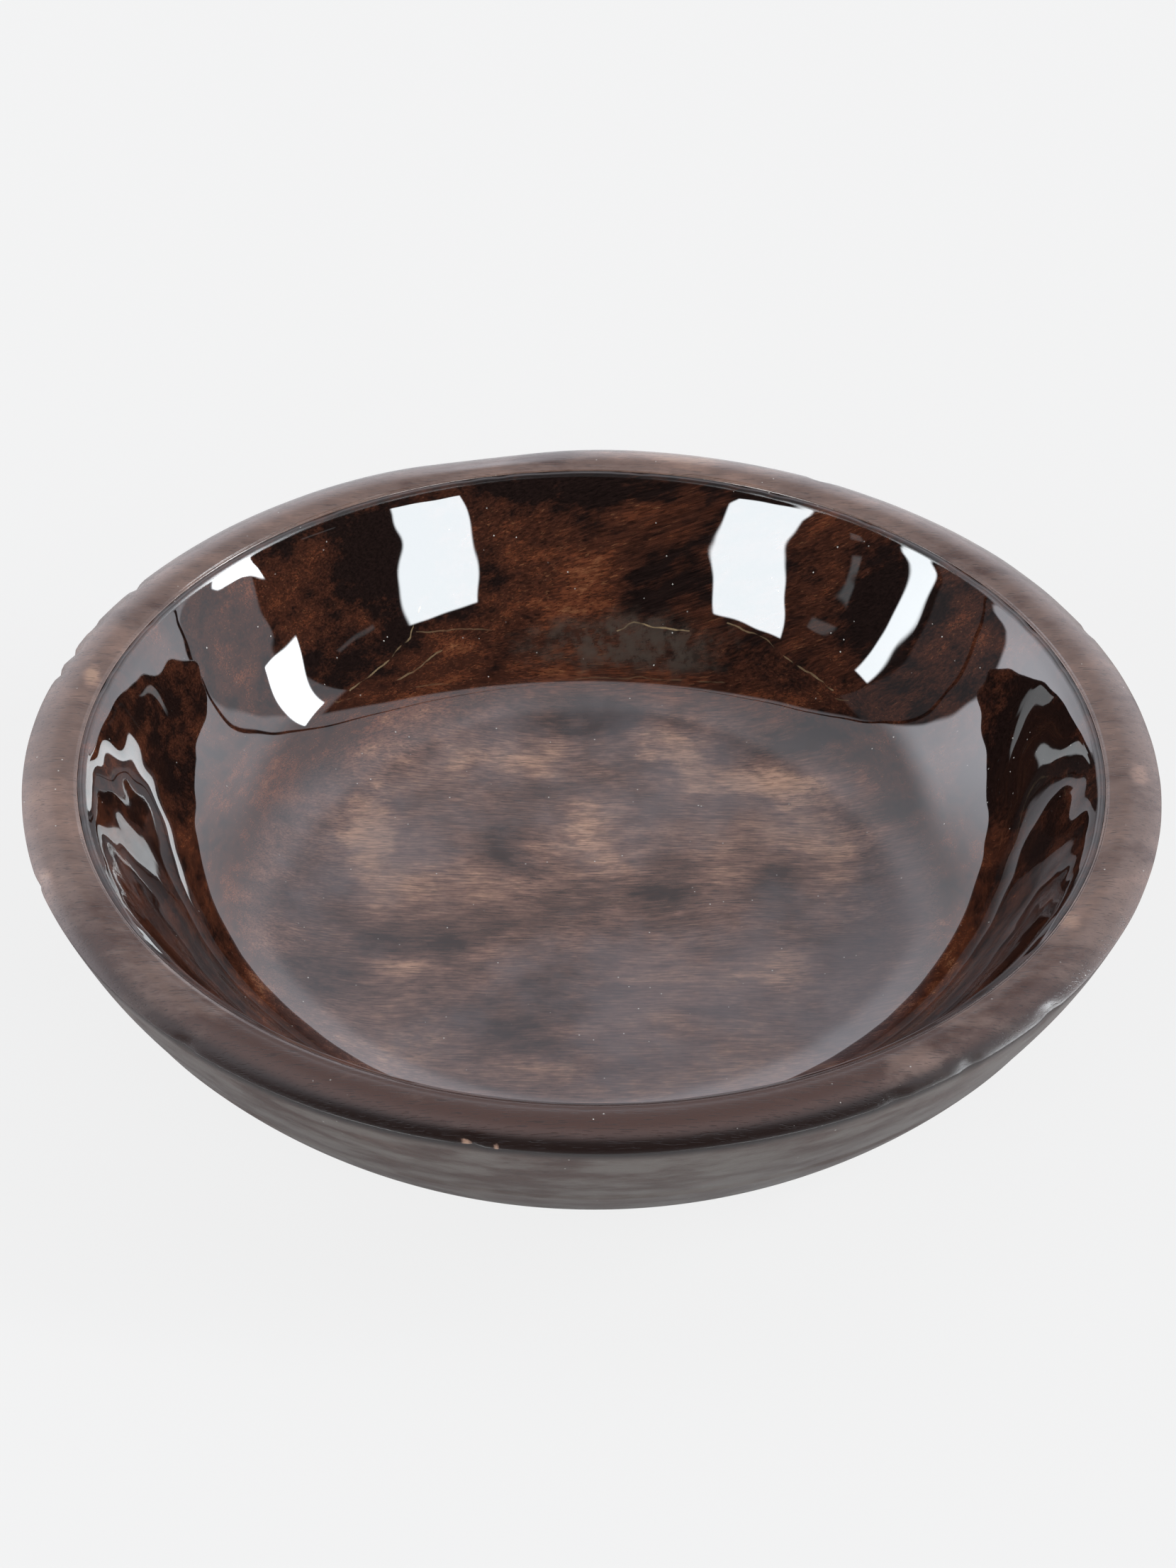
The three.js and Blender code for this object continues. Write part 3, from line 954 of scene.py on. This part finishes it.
def studio_world(studio):
    """A white backdrop behind the bowl, a dark room with panels on the camera's side, and softboxes in it."""
    world = bpy.data.worlds.new("studio")
    world.use_nodes = True
    tree = world.node_tree
    tree.nodes.clear()
    end = tree.nodes.new("ShaderNodeOutputWorld")
    toward = put(tree, "ShaderNodeTexCoord").outputs["Generated"]
    parts = put(tree, "ShaderNodeSeparateXYZ", {0: toward}).outputs
    across, back, up = parts["X"], parts["Y"], parts["Z"]
    azimuth = sums(tree, "ARCTAN2", across, product(tree, back, -1.0))
    elevation = sums(tree, "ARCSINE", up)
    border = product(tree, sums(tree, "SUBTRACT", 1.0, up), 0.27)
    white = ramp(tree, sums(tree, "SUBTRACT", back, border), -0.012, 0.012)
    dark = sums(tree, "SUBTRACT", 1.0, white)
    light = product(tree, white, backdrop_light(tree, studio, azimuth, elevation))
    light = sums(tree, "ADD", light, studio.room)
    light = sums(tree, "ADD", light, product(tree, dark, panel_light(tree, studio, azimuth, elevation)))
    for turn in DARK_GAPS:
        apart = sums(tree, "ABSOLUTE", sums(tree, "SUBTRACT", azimuth, math.radians(turn)))
        light = product(tree, light, swing(tree, apart, 0.35, 0.7))
    boxes = times(tree, BOX_WHITE, softbox_light(tree, studio, azimuth, elevation))
    tint = vectors(tree, "ADD", times(tree, COOL_WHITE, light), boxes)
    lit = put(tree, "ShaderNodeBackground", {"Color": tint, "Strength": 1.0})
    plain = put(
        tree, "ShaderNodeBackground", {"Color": (1.0, 1.0, 1.0, 1.0), "Strength": studio.seen_backdrop})
    seen = put(tree, "ShaderNodeLightPath").outputs["Is Camera Ray"]
    both = put(tree, "ShaderNodeMixShader", {0: seen, 1: lit.outputs[0], 2: plain.outputs[0]})
    tree.links.new(both.outputs[0], end.inputs["Surface"])
    world.cycles.sampling_method = "MANUAL"
    world.cycles.sample_map_resolution = 2048
    return world


def pale_floor(studio):
    """The floor's material: pale, with only a faint shadow under the bowl in the picture."""
    material, tree, end = new_material("pale_floor")
    surface = put(tree, "ShaderNodeBsdfPrincipled", {
        "Base Color": (0.03, 0.03, 0.03, 1.0), "Roughness": 1.0, "Specular IOR Level": 0.0,
        "Emission Color": (1.0, 1.0, 1.0, 1.0), "Emission Strength": studio.seen_floor})
    bounce = put(tree, "ShaderNodeBsdfDiffuse", {"Color": opaque([studio.floor_white] * 3)})
    seen = put(tree, "ShaderNodeLightPath").outputs["Is Camera Ray"]
    both = put(tree, "ShaderNodeMixShader", {0: seen, 1: bounce.outputs[0], 2: surface.outputs[0]})
    tree.links.new(both.outputs[0], end.inputs["Surface"])
    return material


def aimed_camera(studio, sizes):
    """The camera, looking down at the bowl from the front."""
    data = bpy.data.cameras.new("camera")
    data.sensor_fit = "VERTICAL"
    data.sensor_height = 36.0
    data.lens = studio.camera_lens
    camera = bpy.data.objects.new("camera", data)
    bpy.context.scene.collection.objects.link(camera)
    rise = studio.camera_elevation
    forward = Vector((0, math.cos(rise), -math.sin(rise)))
    right = Vector((1, 0, 0))
    up = right.cross(forward)
    aim = spot(0, sizes.height) + right * studio.camera_aside + up * studio.camera_above
    place = Matrix.Translation(aim - forward * studio.camera_distance)
    facing = Matrix((right, up, -forward)).transposed().to_4x4()
    camera.matrix_world = place @ facing @ Matrix.Rotation(studio.camera_roll, 4, "Z")
    bpy.context.scene.camera = camera


# The stage floor's half width in metres, and how far it lies below the standing ring
FLOOR_REACH = 4.0
FLOOR_DROP = 0.2 * MM


class BOWL_OT_turned_wood(bpy.types.Operator):
    """Turn the wooden body with its rounded rim"""

    bl_idname = "bowl.turned_wood"
    bl_label = "Turned wood"

    def execute(self, context):
        sizes, colours = context.scene.bowl_sizes, context.scene.bowl_colours
        grain, patch, specks, figure = wood_groups(sizes, colours)
        materials = [satin_wood(sizes, colours, grain, patch, specks), lined_wood(figure)]
        section, crisp = wood_section(sizes)
        shape = turned(section, sizes.wood_turns)
        softened(shape, crisp, sizes.arris_softness)
        mouth = mouth_of(sizes).x
        for face in shape.faces:
            middle = face.calc_center_median()
            inside = math.hypot(middle.x, middle.y) < mouth and middle.z > sizes.floor_height - 0.1 * MM
            if inside and face.normal.z > 0:
                face.material_index = 1
        hand_work(shape, sizes)
        piece = finished(shape, "turned_wood", materials)
        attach(piece, "root")
        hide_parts("turned_bowl")
        return {"FINISHED"}


class BOWL_OT_clear_lining(bpy.types.Operator):
    """Pour the clear lining into the hollow"""

    bl_idname = "bowl.clear_lining"
    bl_label = "Clear lining"

    def execute(self, context):
        sizes, colours = context.scene.bowl_sizes, context.scene.bowl_colours
        section, marks, depths = lining_section(sizes)
        shape = turned(section, sizes.lining_turns, (("top", marks), ("depth", depths)))
        poured(shape, sizes)
        figure = wood_groups(sizes, colours)[-1]
        piece = finished(shape, "poured_lining", [clear_coat(sizes, figure)])
        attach(piece, "root")
        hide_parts("clear_lining")
        return {"FINISHED"}


class BOWL_OT_studio(bpy.types.Operator):
    """Set up the pale floor, the studio light and the camera"""

    bl_idname = "bowl.studio"
    bl_label = "Studio"

    def execute(self, context):
        scene = context.scene
        shape = bmesh.new()
        bmesh.ops.create_grid(shape, x_segments=2, y_segments=2, size=FLOOR_REACH)
        bmesh.ops.translate(shape, verts=shape.verts, vec=(0, 0, -FLOOR_DROP))
        floor = finished(shape, "floor", [pale_floor(scene.bowl_studio)])
        scene.world = studio_world(scene.bowl_studio)
        scene.view_settings.view_transform = "Standard"
        aimed_camera(scene.bowl_studio, scene.bowl_sizes)
        return {"FINISHED"}


class BOWL_PT_panel(bpy.types.Panel):
    """The bowl's sizes and colours, and the buttons that build it"""

    bl_idname = "BOWL_PT_panel"
    bl_label = "Lined wooden bowl"
    bl_space_type = "VIEW_3D"
    bl_region_type = "UI"
    bl_category = "Bowl"

    def draw(self, context):
        for operator in OPERATORS:
            self.layout.operator(operator.bl_idname)
        for group in (context.scene.bowl_sizes, context.scene.bowl_colours, context.scene.bowl_studio):
            box = self.layout.box()
            for name in group.bl_rna.properties.keys():
                if name not in ("rna_type", "name"):
                    box.prop(group, name)


OPERATORS = (BOWL_OT_turned_wood, BOWL_OT_clear_lining, BOWL_OT_studio)
CLASSES = (BowlSizes, BowlColours, BowlStudio) + OPERATORS + (BOWL_PT_panel,)


def register():
    """Makes the add-on's classes and settings known."""
    for kind in CLASSES:
        bpy.utils.register_class(kind)
    bpy.types.Scene.bowl_sizes = PointerProperty(type=BowlSizes)
    bpy.types.Scene.bowl_colours = PointerProperty(type=BowlColours)
    bpy.types.Scene.bowl_studio = PointerProperty(type=BowlStudio)


def unregister():
    """Takes the add-on's classes and settings away again."""
    del bpy.types.Scene.bowl_sizes
    del bpy.types.Scene.bowl_colours
    del bpy.types.Scene.bowl_studio
    for kind in reversed(CLASSES):
        bpy.utils.unregister_class(kind)


def main():
    """Builds the bowl and its studio."""
    register()
    bpy.ops.bowl.turned_wood()
    bpy.ops.bowl.clear_lining()
    bpy.ops.bowl.studio()


if __name__ == "__main__":
    main()
